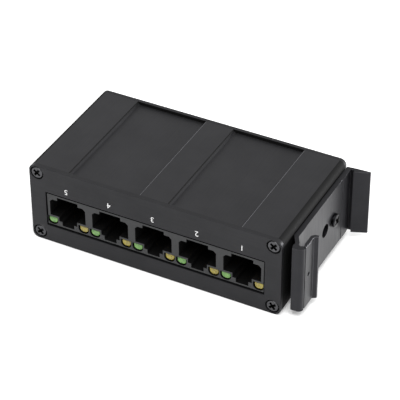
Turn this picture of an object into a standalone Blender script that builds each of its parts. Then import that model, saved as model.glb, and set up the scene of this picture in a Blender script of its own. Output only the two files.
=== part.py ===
"""Five-port network switch in an extruded aluminium case, with a clip for a 35 mm rail on its side.

Frame: origin at the middle of the case's underside. X runs along the ports (+X is the rail clip's
side), -Y is the side that the ports face, +Z is up. Metres.
"""

import math

import bmesh
import bpy
from mathutils import Matrix, Vector

MM = 0.001

# Driving dimensions of the case
CASE_SIDE = 5.075 * MM          # from the outer ports' cells to the case's sides
CASE_H = 26.0 * MM
CASE_D = 43.0 * MM              # over both end plates
CORNER_R = 2.0 * MM
PLATE_T = 1.5 * MM              # front and rear end plates
SIDE_WALL = 1.6 * MM
TOP_WALL = 2.2 * MM             # beside the channels
CHANNEL_W = 22.6 * MM           # shallow channels along the top and the underside
CHANNEL_X = 15.9 * MM           # from the middle plane to a channel's middle
CHANNEL_DEPTH = 1.0 * MM
GAP = 0.3 * MM                  # between pieces that touch

# End plate screws
SCREW_INSET = 2.55 * MM         # from the case's edges to a screw's axis
PILOT_R = 1.05 * MM
HEAD_R = 1.85 * MM
HEAD_T = 0.7 * MM
HEAD_SUNK = 0.1 * MM
SHANK_LEN = 7.0 * MM
BOSS_WALL = 0.9 * MM
CROSS_W = 0.65 * MM
CROSS_LEN = 2.4 * MM
CROSS_DEPTH = 0.4 * MM

# Circuit board
BOARD_T = 1.6 * MM
BOARD_TOP = 6.0 * MM
BOARD_END_GAP = 0.5 * MM
RIB_T = 1.0 * MM
RIB_REACH = 1.3 * MM

# Row of jacks
PORTS = 5
PORT_WALL = 2.27 * MM           # between neighbouring sockets
JACK_H = 10.7 * MM
JACK_D = 16.0 * MM
JACK_SUNK = 0.3 * MM            # behind the front plate's face
JACK_END = 0.3 * MM             # less than half a pitch past the outer ports
WINDOW_SIDE_GAP = 0.3 * MM
WINDOW_LOW_GAP = 0.6 * MM
WINDOW_TOP_GAP = 0.55 * MM
SOCKET_LOW = 3.4 * MM           # heights above the jack's underside
SOCKET_HIGH = 9.0 * MM
CROWN_W = 6.8 * MM              # raised middle of a socket's top, over the contacts
CROWN_HIGH = 10.1 * MM
COMB_SIDE = 0.22 * MM           # beside the outer contacts' strips, behind the face
COMB_BACK = 1.0 * MM
CORNER_CUT = 0.8 * MM
LATCH_W = 6.0 * MM
LATCH_LOW = 1.9 * MM
LATCH_SLOT_W = 3.9 * MM
LATCH_SLOT_LOW = 0.5 * MM
SOCKET_D = 13.0 * MM

# Port lights
LENS_W = 2.8 * MM
LENS_H = 1.95 * MM
LENS_D = 2.4 * MM
LENS_WALL = 0.4 * MM            # between the latch's space and a light's pocket
LENS_EDGE = 0.485 * MM          # from a light to the edge of its port's cell
LENS_LOW = 0.55 * MM            # above the jack's underside
LENS_SUNK = 0.3 * MM

# Spring contacts
CONTACTS = 8
CONTACT_PITCH = 1.02 * MM
CONTACT_W = 0.45 * MM
CONTACT_T = 0.25 * MM
CONTACT_DROP = 1.3 * MM         # of the free end, below the fixed run
CONTACT_REACH = 10.5 * MM

# Parts on the board
COIL_W = 9.5 * MM
COIL_D = 7.0 * MM
COIL_H = 5.2 * MM
CHIP_W = 10.0 * MM
CHIP_H = 1.2 * MM
CAP_R = 3.15 * MM
CAP_H = 7.7 * MM
CAP_X = 12.0 * MM
CHOKE_W = 6.6 * MM
CHOKE_H = 3.0 * MM
CRYSTAL_W = 4.6 * MM
CRYSTAL_H = 3.5 * MM
REGULATOR_W = 4.9 * MM
REGULATOR_L = 3.9 * MM

# Power socket
POWER_X = 24.0 * MM
POWER_W = 9.0 * MM
POWER_H = 11.0 * MM
POWER_D = 14.2 * MM
POWER_BORE_R = 3.2 * MM
POWER_BORE_D = 9.5 * MM
POWER_PIN_R = 1.0 * MM
POWER_PIN_LEN = 8.0 * MM

# Screw terminal: header on the board, plug pulled off to the rear
TERMINAL_X = -24.0 * MM
WAYS = 2
WAY_PITCH = 5.08 * MM
HEADER_WALL = 1.0 * MM
HEADER_D = 11.0 * MM
HEADER_BACK_WALL = 1.6 * MM
NOSE_H = 5.6 * MM
NOSE_D = 7.0 * MM
PLUG_H = 9.0 * MM
PLUG_D = 8.0 * MM
PLUG_CLEAR = 0.4 * MM           # between the plug's shoulder and the rear plate
PIN_W = 1.0 * MM
WIRE_HOLE_W = 3.3 * MM
WIRE_HOLE_D = 6.0 * MM
CAGE_T = 0.35 * MM
CLAMP_R = 1.3 * MM
CLAMP_LEN = 2.0 * MM

# Power light in the rear plate
LAMP_R = 1.5 * MM
LAMP_LEN = 5.5 * MM
LAMP_PROUD = 0.4 * MM
LAMP_HOLDER_W = 4.6 * MM

# Rail clip: one extruded profile, drawn in plan as (out from the case, back from the clip's front)
CLIP_LEN = 21.6 * MM            # of the extrusion, along Z
CLIP_T = 1.5 * MM
CLIP_FRONT = 1.5 * MM           # from the case's front face to the clip's front face
ARM_OUT = 5.3 * MM              # sprung arm's outer face
ARM_T = 1.1 * MM
BEND_R = 1.5 * MM
THROAT_R = 0.75 * MM
THROAT_BACK = 2.7 * MM
LEG_FOOT = 5.4 * MM             # where the bend's sloping leg meets the seat
LEG_T = 1.2 * MM
LIP_BACK = 7.1 * MM             # where the arm's lip starts to flare
LIP_OUT = 1.1 * MM
LIP_RISE = 0.7 * MM             # length that the lip takes to flare
LIP_T = 0.6 * MM
ARM_TAPER = 0.15 * MM           # arm's root is thinner than its middle
BEND_END = -30.0                # degrees round the throat, where the arm takes over
NOSE_FLAT = 0.4 * MM            # small slope at the bend's inner front edge
RAIL_W = 35.0 * MM
RAIL_CLEAR = 0.1 * MM
SLOT_T = 1.2 * MM               # rear slot for the rail's edge
LAND_LEN = 5.2 * MM             # of each land that a flange of the rail lies on
RELIEF = 0.1 * MM               # of the plate between the lands, and of the slot's floor
CATCH = 0.9 * MM                # of the rear hook over the rail's edge
TONGUE_OUT = 5.7 * MM           # from the seat to the tongue's tip
TONGUE_LEAN = 1.8 * MM
TIP_T = 0.45 * MM
HEEL_T = 1.1 * MM               # behind the rear slot
HEEL_INNER_T = 0.75 * MM        # the same at the case's side
CLIP_SCREWS_Y = (-6.3 * MM, 9.7 * MM)
CLIP_HOLE_Y = 3.9 * MM
CLIP_HOLE_R = 2.1 * MM
CLIP_HEAD_R = 2.1 * MM
CLIP_HEAD_T = 0.8 * MM
CLIP_SHANK_R = 1.1 * MM
CLIP_SHANK_LEN = 4.0 * MM
ARM_HOLE_R = 0.7 * MM

# Places worked out from the sizes above
LENS_X = LATCH_W / 2 + LENS_WALL + GAP + LENS_W / 2
PORT_PITCH = 2 * (LENS_X + LENS_W / 2 + LENS_EDGE)
SOCKET_W = PORT_PITCH - PORT_WALL
COMB_W = CONTACTS * CONTACT_PITCH + 2 * COMB_SIDE
CASE_W = PORTS * PORT_PITCH + 2 * CASE_SIDE
FRONT = -CASE_D / 2
REAR = CASE_D / 2
TUBE_D = CASE_D - 2 * PLATE_T
MID_Z = CASE_H / 2
SCREW_X = CASE_W / 2 - SCREW_INSET
BOARD_LOW = BOARD_TOP - BOARD_T
JACK_LOW = BOARD_TOP + GAP
JACK_FRONT = FRONT + JACK_SUNK
JACK_W = PORTS * PORT_PITCH - 2 * JACK_END
JACK_BACK = JACK_FRONT + JACK_D
PART_LOW = BOARD_TOP + GAP      # underside of what stands on the board
CLIP_X = CASE_W / 2 + GAP       # clip's inner face
SEAT_X = CLIP_X + CLIP_T        # face that the rail lies on
CLIP_Y = FRONT + CLIP_FRONT
THROAT_OUT = ARM_OUT - ARM_T + ARM_TAPER - THROAT_R

MATERIALS = {
    # name: (colour, metallic, roughness)
    "black_anodised": ((0.022, 0.022, 0.024), 0.6, 0.45),
    "grey_nylon": ((0.060, 0.062, 0.066), 0.0, 0.55),
    "black_plastic": ((0.015, 0.015, 0.016), 0.0, 0.5),
    "green_plastic": ((0.020, 0.160, 0.060), 0.0, 0.4),
    "zinc_steel": ((0.350, 0.350, 0.360), 1.0, 0.35),
    "blackened_steel": ((0.050, 0.050, 0.052), 0.9, 0.4),
    "gold_plate": ((0.800, 0.560, 0.200), 1.0, 0.25),
    "brass": ((0.650, 0.480, 0.200), 1.0, 0.35),
    "green_lens": ((0.050, 0.450, 0.100), 0.0, 0.25),
    "yellow_lens": ((0.700, 0.480, 0.050), 0.0, 0.25),
    "board_green": ((0.010, 0.120, 0.060), 0.0, 0.4),
    "capacitor_foil": ((0.500, 0.500, 0.520), 1.0, 0.4),
}


def clear_scene():
    """Empty the file of its objects."""
    for obj in list(bpy.data.objects):
        bpy.data.objects.remove(obj, do_unlink=True)


def material(name):
    """The named finish, made once."""
    found = bpy.data.materials.get(name)
    if found:
        return found
    colour, metallic, roughness = MATERIALS[name]
    made = bpy.data.materials.new(name)
    made.use_nodes = True
    shader = made.node_tree.nodes["Principled BSDF"]
    shader.inputs["Base Color"].default_value = (*colour, 1.0)
    shader.inputs["Metallic"].default_value = metallic
    shader.inputs["Roughness"].default_value = roughness
    return made


def to_object(name, bm, finish, at=(0.0, 0.0, 0.0)):
    """A new object from a bmesh, with its origin at the given place."""
    bmesh.ops.recalc_face_normals(bm, faces=bm.faces[:])
    mesh = bpy.data.meshes.new(name)
    bm.to_mesh(mesh)
    bm.free()
    mesh.materials.append(material(finish))
    obj = bpy.data.objects.new(name, mesh)
    obj.location = at
    bpy.context.scene.collection.objects.link(obj)
    return obj


def arc(cx, cy, radius, start, end, steps):
    """Points round an arc, angles in degrees."""
    points = []
    for i in range(steps + 1):
        angle = math.radians(start + (end - start) * i / steps)
        points.append((cx + radius * math.cos(angle), cy + radius * math.sin(angle)))
    return points


def add_prism(bm, outline, low, high, axis):
    """Extrude a closed outline: axis Z takes (x, y), axis Y takes (x, z), axis X takes (y, z)."""
    places = {
        "Z": lambda a, b, c: (a, b, c),
        "Y": lambda a, b, c: (a, c, b),
        "X": lambda a, b, c: (c, a, b),
    }
    place = places[axis]
    base = bm.faces.new([bm.verts.new(place(a, b, low)) for a, b in outline])
    moved = bmesh.ops.extrude_face_region(bm, geom=[base])["geom"]
    far = [v for v in moved if isinstance(v, bmesh.types.BMVert)]
    bmesh.ops.translate(bm, vec=Vector(place(0.0, 0.0, high - low)), verts=far)


def prism(name, outline, low, high, axis, finish, at=(0.0, 0.0, 0.0)):
    """An extruded piece."""
    bm = bmesh.new()
    add_prism(bm, outline, low, high, axis)
    return to_object(name, bm, finish, at)


def add_block(bm, low, high):
    """A box between two corners."""
    centre = (Vector(low) + Vector(high)) / 2
    size = Vector(high) - Vector(low)
    place = Matrix.Translation(centre) @ Matrix.Diagonal((*size, 1.0))
    bmesh.ops.create_cube(bm, size=1.0, matrix=place)


def block(name, low, high, finish, at=(0.0, 0.0, 0.0)):
    """A box-shaped piece."""
    bm = bmesh.new()
    add_block(bm, low, high)
    return to_object(name, bm, finish, at)


def add_rod(bm, radius, start, end, sides=20, end_radius=None):
    """A round bar, or a cone, between two points."""
    start = Vector(start)
    end = Vector(end)
    along = end - start
    turn = along.to_track_quat("Z", "Y").to_matrix().to_4x4()
    far_radius = radius if end_radius is None else end_radius
    bmesh.ops.create_cone(
        bm, cap_ends=True, segments=sides, radius1=radius, radius2=far_radius,
        depth=along.length, matrix=Matrix.Translation((start + end) / 2) @ turn)


def rod(name, radius, start, end, finish, at=(0.0, 0.0, 0.0), sides=20):
    """A round piece."""
    bm = bmesh.new()
    add_rod(bm, radius, start, end, sides)
    obj = to_object(name, bm, finish, at)
    smooth(obj)
    return obj


def smooth(obj):
    """Round faces shaded smooth, with their rims kept sharp."""
    obj.data.shade_smooth()
    obj.data.set_sharp_from_angle(angle=math.radians(35))


def boolean(obj, tool, operation):
    """Apply one shape to another and hide the tool."""
    tool.hide_render = True
    tool.display_type = "WIRE"
    step = obj.modifiers.new(tool.name, "BOOLEAN")
    step.operation = operation
    step.solver = "EXACT"
    step.object = tool


def cut(obj, bm):
    """Cut away everything that a bmesh in the object's own space encloses."""
    count = len(obj.modifiers)
    tool = to_object(f"cut_{obj.name}_{count}", bm, "black_plastic", obj.location)
    tool.parent = obj.parent
    boolean(obj, tool, "DIFFERENCE")


def rounded_rect(width, low, high, radius, steps=5):
    """Outline of a rectangle centred on x = 0, with round corners."""
    x = width / 2 - radius
    points = arc(x, low + radius, radius, -90, 0, steps)
    points += arc(x, high - radius, radius, 0, 90, steps)
    points += arc(-x, high - radius, radius, 90, 180, steps)
    points += arc(-x, low + radius, radius, 180, 270, steps)
    return points


def mirrored(right):
    """A closed outline from its right half, listed upwards from the middle plane's foot."""
    return right + [(-x, z) for x, z in reversed(right)]


def tube_outline():
    """The case's outer section, with two channels in the top and two in the underside."""
    near = CHANNEL_X - CHANNEL_W / 2
    far = CHANNEL_X + CHANNEL_W / 2
    corner = CASE_W / 2 - CORNER_R
    right = [(near, 0.0), (near, CHANNEL_DEPTH), (far, CHANNEL_DEPTH), (far, 0.0)]
    right += arc(corner, CORNER_R, CORNER_R, -90, 0, 5)
    right += arc(corner, CASE_H - CORNER_R, CORNER_R, 0, 90, 5)
    top = CASE_H - CHANNEL_DEPTH
    right += [(far, CASE_H), (far, top), (near, top), (near, CASE_H)]
    return mirrored(right)


def cavity_outline():
    """The case's inner section: corner bosses for the screws and ribs that hold the board."""
    wall = CASE_W / 2 - SIDE_WALL
    boss_x = SCREW_X - PILOT_R - BOSS_WALL
    boss_low = BOARD_LOW - GAP
    boss_high = CASE_H - SCREW_INSET - PILOT_R - BOSS_WALL
    rib = BOARD_TOP + GAP
    right = [
        (boss_x, TOP_WALL), (boss_x, boss_low), (wall, boss_low), (wall, rib),
        (wall - RIB_REACH, rib), (wall - RIB_REACH, rib + RIB_T), (wall, rib + RIB_T),
        (wall, boss_high), (boss_x, boss_high), (boss_x, CASE_H - TOP_WALL),
    ]
    return mirrored(right)


def screw_places():
    """Axes of the four screws of an end plate, as (x, z)."""
    places = []
    for x in (-SCREW_X, SCREW_X):
        for z in (SCREW_INSET, CASE_H - SCREW_INSET):
            places.append((x, z))
    return places


def make_case_tube():
    """Extruded aluminium tube."""
    half = TUBE_D / 2
    tube = prism("case_tube", tube_outline(), -half, half, "Y", "black_anodised")
    past = 1.0 * MM
    bm = bmesh.new()
    add_prism(bm, cavity_outline(), -half - past, half + past, "Y")
    cut(tube, bm)
    bm = bmesh.new()
    for x, z in screw_places():
        add_rod(bm, PILOT_R, (x, -half - past, z), (x, half + past, z), 16)
    cut(tube, bm)
    bm = bmesh.new()
    for y in CLIP_SCREWS_Y:
        inner = CASE_W / 2 - SIDE_WALL - past
        add_rod(bm, CLIP_SHANK_R + GAP, (inner, y, MID_Z), (CASE_W / 2 + past, y, MID_Z), 16)
    cut(tube, bm)
    smooth(tube)


def cut_screw_seats(plate, outer, inward):
    """Counterbored holes for an end plate's screws; inward is +1 or -1 along Y."""
    past = 1.0 * MM
    seat = HEAD_SUNK + HEAD_T + GAP
    bm = bmesh.new()
    for x, z in screw_places():
        add_rod(bm, HEAD_R + GAP, (x, outer - inward * past, z), (x, outer + inward * seat, z), 24)
    cut(plate, bm)
    bm = bmesh.new()
    for x, z in screw_places():
        start = (x, outer - inward * past, z)
        end = (x, outer + inward * (PLATE_T + past), z)
        add_rod(bm, PILOT_R + 0.1 * MM, start, end, 16)
    cut(plate, bm)


def make_front_plate():
    """End plate with one long window for the row of jacks."""
    inner = FRONT + PLATE_T - GAP
    outline = rounded_rect(CASE_W, 0.0, CASE_H, CORNER_R)
    plate = prism("front_plate", outline, FRONT, inner, "Y", "black_anodised")
    x = JACK_W / 2 + WINDOW_SIDE_GAP
    past = 1.0 * MM
    low = (-x, FRONT - past, JACK_LOW - WINDOW_LOW_GAP)
    high = (x, inner + past, JACK_LOW + JACK_H + WINDOW_TOP_GAP)
    bm = bmesh.new()
    add_block(bm, low, high)
    cut(plate, bm)
    cut_screw_seats(plate, FRONT, 1)
    smooth(plate)


def make_rear_plate():
    """End plate with openings for the power socket, the terminal and the power light."""
    inner = REAR - PLATE_T + GAP
    outline = rounded_rect(CASE_W, 0.0, CASE_H, CORNER_R)
    plate = prism("rear_plate", outline, inner, REAR, "Y", "black_anodised")
    past = 1.0 * MM
    bm = bmesh.new()
    add_block(
        bm, (POWER_X - POWER_W / 2 - GAP, inner - past, PART_LOW - GAP),
        (POWER_X + POWER_W / 2 + GAP, REAR + past, PART_LOW + POWER_H + GAP))
    half = header_width() / 2 + GAP
    add_block(
        bm, (TERMINAL_X - half, inner - past, PART_LOW - GAP),
        (TERMINAL_X + half, REAR + past, PART_LOW + header_height() + GAP))
    add_rod(bm, LAMP_R + GAP, (0.0, inner - past, lamp_height()), (0.0, REAR + past, lamp_height()), 20)
    cut(plate, bm)
    cut_screw_seats(plate, REAR, -1)
    smooth(plate)


def cross_outline():
    """A driver's cross, centred on a screw's axis."""
    long = CROSS_LEN / 2
    short = CROSS_W / 2
    points = []
    for turn in range(4):
        sine = round(math.sin(math.pi / 2 * turn))
        cosine = round(math.cos(math.pi / 2 * turn))
        for x, y in ((long, short), (short, short), (short, long)):
            points.append((x * cosine - y * sine, x * sine + y * cosine))
    return points


def add_turned(bm, profile, base, along, sides=20):
    """A turned piece: (distance, radius) steps from the base point along a direction."""
    place = Matrix.Translation(base) @ Vector(along).to_track_quat("Z", "Y").to_matrix().to_4x4()
    distance, radius = profile[0]
    start = place @ Matrix.Translation((0.0, 0.0, distance))
    ring = bmesh.ops.create_circle(bm, cap_ends=True, segments=sides, radius=radius, matrix=start)
    base_cap = ring["verts"][0].link_faces[0]
    cap = base_cap
    for next_distance, next_radius in profile[1:]:
        moved = bmesh.ops.extrude_face_region(bm, geom=[cap])["geom"]
        if cap is not base_cap:
            bmesh.ops.delete(bm, geom=[cap], context="FACES_ONLY")
        cap = next(item for item in moved if isinstance(item, bmesh.types.BMFace))
        grow = next_radius / radius
        step = (
            place @ Matrix.Translation((0.0, 0.0, next_distance)) @ Matrix.Diagonal((grow, grow, 1.0, 1.0))
            @ Matrix.Translation((0.0, 0.0, -distance)) @ place.inverted())
        bmesh.ops.transform(bm, matrix=step, verts=cap.verts)
        distance, radius = next_distance, next_radius


def baked_mesh(obj):
    """The finished mesh of an object, which is removed with its cutters."""
    bpy.context.view_layer.update()
    mesh = bpy.data.meshes.new_from_object(obj.evaluated_get(bpy.context.evaluated_depsgraph_get()))
    tools = [step.object for step in obj.modifiers if step.type == "BOOLEAN"]
    for used in tools + [obj]:
        bpy.data.objects.remove(used, do_unlink=True)
    return mesh


def screw_mesh(head_radius, head_t, shank_radius, shank_len, finish):
    """A cross-head screw: its head's outer face at z = 0, its shank down -Z."""
    edge = 0.2 * head_t
    profile = [
        (0.0, head_radius - edge), (edge, head_radius), (head_t, head_radius),
        (head_t, shank_radius), (head_t + shank_len, shank_radius),
    ]
    bm = bmesh.new()
    add_turned(bm, profile, (0.0, 0.0, 0.0), (0.0, 0.0, -1.0))
    screw = to_object("screw", bm, finish)
    bm = bmesh.new()
    add_prism(bm, cross_outline(), -CROSS_DEPTH, CROSS_DEPTH, "Z")
    cut(screw, bm)
    return baked_mesh(screw)


def place_copy(name, mesh, at, turn=(0.0, 0.0, 0.0)):
    """One more object on a shared mesh; turn is in degrees about X, Y and Z."""
    obj = bpy.data.objects.new(name, mesh)
    obj.location = at
    obj.rotation_euler = [math.radians(angle) for angle in turn]
    bpy.context.scene.collection.objects.link(obj)
    smooth(obj)
    return obj


def make_end_screws():
    """Four screws in each end plate."""
    mesh = screw_mesh(HEAD_R, HEAD_T, PILOT_R - GAP, SHANK_LEN, "zinc_steel")
    for i, (x, z) in enumerate(screw_places(), 1):
        place_copy(f"front_screw_{i}", mesh, (x, FRONT + HEAD_SUNK, z), (90, 0, 0))
        place_copy(f"rear_screw_{i}", mesh, (x, REAR - HEAD_SUNK, z), (-90, 0, 0))


def port_places():
    """Middles of the ports along X, port 1 on the rail clip's side."""
    last = (PORTS - 1) / 2
    return [(last - i) * PORT_PITCH for i in range(PORTS)]


def socket_outline(x):
    """A socket as seen from the front, latch slot down."""
    w = SOCKET_W / 2
    low = JACK_LOW + SOCKET_LOW
    high = JACK_LOW + SOCKET_HIGH
    crown = JACK_LOW + CROWN_HIGH
    latch = JACK_LOW + LATCH_LOW
    slot = JACK_LOW + LATCH_SLOT_LOW
    right = [
        (LATCH_SLOT_W / 2, slot), (LATCH_SLOT_W / 2, latch), (LATCH_W / 2, latch),
        (LATCH_W / 2, low), (w, low), (w, high - CORNER_CUT), (w - CORNER_CUT, high),
        (CROWN_W / 2, high), (CROWN_W / 2, crown),
    ]
    return [(x + dx, z) for dx, z in mirrored(right)]


def lens_outline(x, grow):
    """A port light's face: flat top and round lower corners; grow widens it all round."""
    half = LENS_W / 2 + grow
    low = JACK_LOW + LENS_LOW - grow
    high = JACK_LOW + LENS_LOW + LENS_H + grow
    radius = half * 0.85
    right = arc(half - radius, low + radius, radius, -90, 0, 5)
    right += [(half, high)]
    return [(x + dx, z) for dx, z in mirrored(right)]


def lens_places():
    """Middles of the green and the yellow lights of each port, as (port, green x, yellow x)."""
    return [(i + 1, x - LENS_X, x + LENS_X) for i, x in enumerate(port_places())]


def make_jack_housing():
    """One moulded housing with a row of sockets."""
    low = (-JACK_W / 2, JACK_FRONT, JACK_LOW)
    high = (JACK_W / 2, JACK_BACK, JACK_LOW + JACK_H)
    housing = block("jack_housing", low, high, "grey_nylon")
    past = 1.0 * MM
    for x in port_places():
        bm = bmesh.new()
        add_prism(bm, socket_outline(x), JACK_FRONT - past, JACK_FRONT + SOCKET_D, "Y")
        cut(housing, bm)
    bm = bmesh.new()
    for x in port_places():
        add_block(
            bm, (x - COMB_W / 2, JACK_FRONT + COMB_BACK, JACK_LOW + SOCKET_HIGH - CORNER_CUT),
            (x + COMB_W / 2, JACK_BACK + past, JACK_LOW + CROWN_HIGH))
    cut(housing, bm)
    bm = bmesh.new()
    depth = LENS_SUNK + LENS_D + GAP
    for _, green, yellow in lens_places():
        for x in (green, yellow):
            add_prism(bm, lens_outline(x, GAP), JACK_FRONT - past, JACK_FRONT + depth, "Y")
    cut(housing, bm)


def make_port_lights():
    """A green and a yellow lens at the lower corners of each port."""
    face = JACK_FRONT + LENS_SUNK
    for port, green, yellow in lens_places():
        prism(f"green_light_{port}", lens_outline(green, 0.0), face, face + LENS_D, "Y", "green_lens")
        prism(f"yellow_light_{port}", lens_outline(yellow, 0.0), face, face + LENS_D, "Y", "yellow_lens")


def contact_outline():
    """Side view of one spring contact, as (y, z): leg, run under the roof, return spring."""
    t = CONTACT_T
    roof = JACK_LOW + CROWN_HIGH - 1.5 * GAP
    leg = JACK_BACK + GAP + t
    nose = JACK_FRONT + COMB_BACK + 0.6 * MM
    foot = BOARD_TOP + GAP
    tip_y = nose + CONTACT_REACH
    tip_z = roof - CONTACT_DROP - t
    points = [(leg, foot), (leg, roof)]
    points += arc(nose + 2 * t, roof - 2 * t, 2 * t, 90, 250, 6)
    points += [(tip_y, tip_z - t), (tip_y, tip_z)]
    points += arc(nose + 2 * t, roof - 2 * t, t, 250, 90, 4)
    points += [(leg - t, roof - t), (leg - t, foot)]
    return points


def make_contact_inserts():
    """For each port, a moulded bar that carries eight spring contacts."""
    half = COMB_W / 2 - GAP
    low = JACK_LOW + SOCKET_HIGH - CORNER_CUT + GAP
    high = JACK_LOW + CROWN_HIGH - GAP
    for port, x in enumerate(port_places(), 1):
        bar = block(
            f"contact_insert_{port}", (x - half, JACK_FRONT + SOCKET_D, low),
            (x + half, JACK_BACK, high), "gold_plate")
        bm = bmesh.new()
        for i in range(CONTACTS):
            middle = x + (i - (CONTACTS - 1) / 2) * CONTACT_PITCH
            add_prism(bm, contact_outline(), middle - CONTACT_W / 2, middle + CONTACT_W / 2, "X")
        wires = to_object(f"wires_{port}", bm, "gold_plate")
        boolean(bar, wires, "UNION")


def make_board():
    """Circuit board, held between the corner bosses and the ribs."""
    half = CASE_W / 2 - SIDE_WALL - GAP
    start = FRONT + PLATE_T + BOARD_END_GAP
    end = REAR - PLATE_T - BOARD_END_GAP
    block("circuit_board", (-half, start, BOARD_LOW), (half, end, BOARD_TOP), "board_green")


def standing(name, x, y, width, depth, height, finish):
    """A box-shaped part on the board."""
    return block(
        name, (-width / 2, -depth / 2, 0.0), (width / 2, depth / 2, height), finish, (x, y, PART_LOW))


def make_board_parts():
    """Line transformers behind the ports, and the switch's other large parts."""
    row = JACK_BACK + 4 * GAP + CONTACT_T + COIL_D / 2
    for port, x in enumerate(port_places(), 1):
        standing(f"line_transformer_{port}", x, row, COIL_W, COIL_D, COIL_H, "black_plastic")
    next_row = row + COIL_D / 2 + 1.5 * MM
    chip_y = next_row + CHIP_W / 2
    standing("switch_chip", 0.0, chip_y, CHIP_W, CHIP_W, CHIP_H, "black_plastic")
    for i, x in enumerate((-CAP_X, CAP_X), 1):
        base = (x, next_row + CAP_R, PART_LOW)
        rod(f"capacitor_{i}", CAP_R, (0.0, 0.0, 0.0), (0.0, 0.0, CAP_H), "capacitor_foil", base)
    side_y = next_row + 2 * CAP_R + 1.0 * MM + CHOKE_W / 2
    standing("power_choke", CAP_X, side_y, CHOKE_W, CHOKE_W, CHOKE_H, "black_plastic")
    standing("crystal", -CAP_X, side_y, CRYSTAL_W, CRYSTAL_W, CRYSTAL_H, "zinc_steel")
    standing(
        "regulator_chip", CASE_W / 2 - SIDE_WALL - REGULATOR_W, chip_y, REGULATOR_W, REGULATOR_L,
        CHIP_H, "black_plastic")


def make_power_socket():
    """Barrel power socket with its centre pin."""
    middle = PART_LOW + POWER_H / 2
    face = REAR - GAP
    body = block(
        "power_socket", (POWER_X - POWER_W / 2, face - POWER_D, PART_LOW),
        (POWER_X + POWER_W / 2, face, PART_LOW + POWER_H), "black_plastic")
    past = 1.0 * MM
    bm = bmesh.new()
    add_rod(
        bm, POWER_BORE_R, (POWER_X, face + past, middle), (POWER_X, face - POWER_BORE_D, middle), 24)
    cut(body, bm)
    bm = bmesh.new()
    add_rod(
        bm, POWER_PIN_R + GAP, (POWER_X, face, middle), (POWER_X, face - POWER_D - past, middle), 16)
    cut(body, bm)
    smooth(body)
    start = (0.0, POWER_BORE_D - POWER_D, 0.0)
    end = (0.0, POWER_PIN_LEN, 0.0)
    at = (POWER_X, face - POWER_BORE_D, middle)
    rod("power_socket_pin", POWER_PIN_R, start, end, "zinc_steel", at, 16)


def plug_width():
    """Width of the terminal's plug."""
    return WAYS * WAY_PITCH


def header_width():
    """Width of the terminal's header, over its walls."""
    return plug_width() + 2 * (GAP + HEADER_WALL)


def header_height():
    """Height of the terminal's header, over its walls."""
    return NOSE_H + 2 * (GAP + HEADER_WALL)


def terminal_middle():
    """Height of the terminal's pins."""
    return PART_LOW + header_height() / 2


def way_places():
    """Middles of the terminal's ways, from the plug's middle."""
    return [(i - (WAYS - 1) / 2) * WAY_PITCH for i in range(WAYS)]


def make_terminal_header():
    """Open shroud on the board, with one square pin for each way."""
    face = REAR - GAP
    start = face - HEADER_D
    z = terminal_middle()
    half = header_width() / 2
    header = block(
        "terminal_header", (TERMINAL_X - half, start, PART_LOW),
        (TERMINAL_X + half, face, PART_LOW + header_height()), "green_plastic")
    past = 1.0 * MM
    floor = start + HEADER_BACK_WALL
    bm = bmesh.new()
    add_block(
        bm, (TERMINAL_X - plug_width() / 2 - GAP, floor, z - NOSE_H / 2 - GAP),
        (TERMINAL_X + plug_width() / 2 + GAP, face + past, z + NOSE_H / 2 + GAP))
    cut(header, bm)
    bm = bmesh.new()
    for dx in way_places():
        x = TERMINAL_X + dx
        hole = PIN_W / 2 + GAP
        add_block(bm, (x - hole, start - past, z - hole), (x + hole, floor + past, z + hole))
    cut(header, bm)
    half = PIN_W / 2
    back = start - GAP - PIN_W
    tip = floor + NOSE_D * 0.75
    outline = [
        (back, PART_LOW), (back + PIN_W, PART_LOW), (back + PIN_W, z - half), (tip, z - half),
        (tip, z + half), (back, z + half),
    ]
    for i, dx in enumerate(way_places(), 1):
        x = TERMINAL_X + dx
        prism(f"terminal_pin_{i}", outline, x - half, x + half, "X", "zinc_steel")


def make_terminal_plug():
    """Plug that pulls off to the rear; its clamp screws turn."""
    z = terminal_middle()
    shoulder = REAR + PLUG_CLEAR
    nose = shoulder - PLUG_CLEAR - GAP - NOSE_D
    end = shoulder + PLUG_D
    width = plug_width()
    low = z - PLUG_H / 2
    high = z + PLUG_H / 2
    outline = [
        (nose, z - NOSE_H / 2), (shoulder, z - NOSE_H / 2), (shoulder, low), (end, low),
        (end, high), (shoulder, high), (shoulder, z + NOSE_H / 2), (nose, z + NOSE_H / 2),
    ]
    plug = bpy.data.objects.new("terminal_plug_base", None)
    plug.location = (TERMINAL_X, shoulder, z)
    bpy.context.scene.collection.objects.link(plug)
    outline = [(y - shoulder, height - z) for y, height in outline]
    body = prism("terminal_plug", outline, -width / 2, width / 2, "X", "green_plastic")
    body.parent = plug
    past = 1.0 * MM
    wire = WIRE_HOLE_W / 2
    pin = PIN_W / 2 + GAP
    depth = PLUG_D - WIRE_HOLE_D
    screw_y = depth + WIRE_HOLE_D / 2
    bm = bmesh.new()
    for x in way_places():
        add_block(bm, (x - wire, depth, -wire), (x + wire, PLUG_D + past, wire))
    cut(body, bm)
    bm = bmesh.new()
    for x in way_places():
        add_block(bm, (x - pin, nose - shoulder - past, -pin), (x + pin, depth + past, pin))
    cut(body, bm)
    bm = bmesh.new()
    for x in way_places():
        add_rod(bm, CLAMP_R + GAP, (x, screw_y, 0.0), (x, screw_y, PLUG_H / 2 + past), 16)
    cut(body, bm)
    smooth(body)
    make_terminal_cages(plug, screw_y)
    for i, x in enumerate(way_places(), 1):
        make_clamp_screw(f"terminal_screw_{i}", plug, (x, screw_y, PLUG_H / 2 - GAP))


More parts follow.
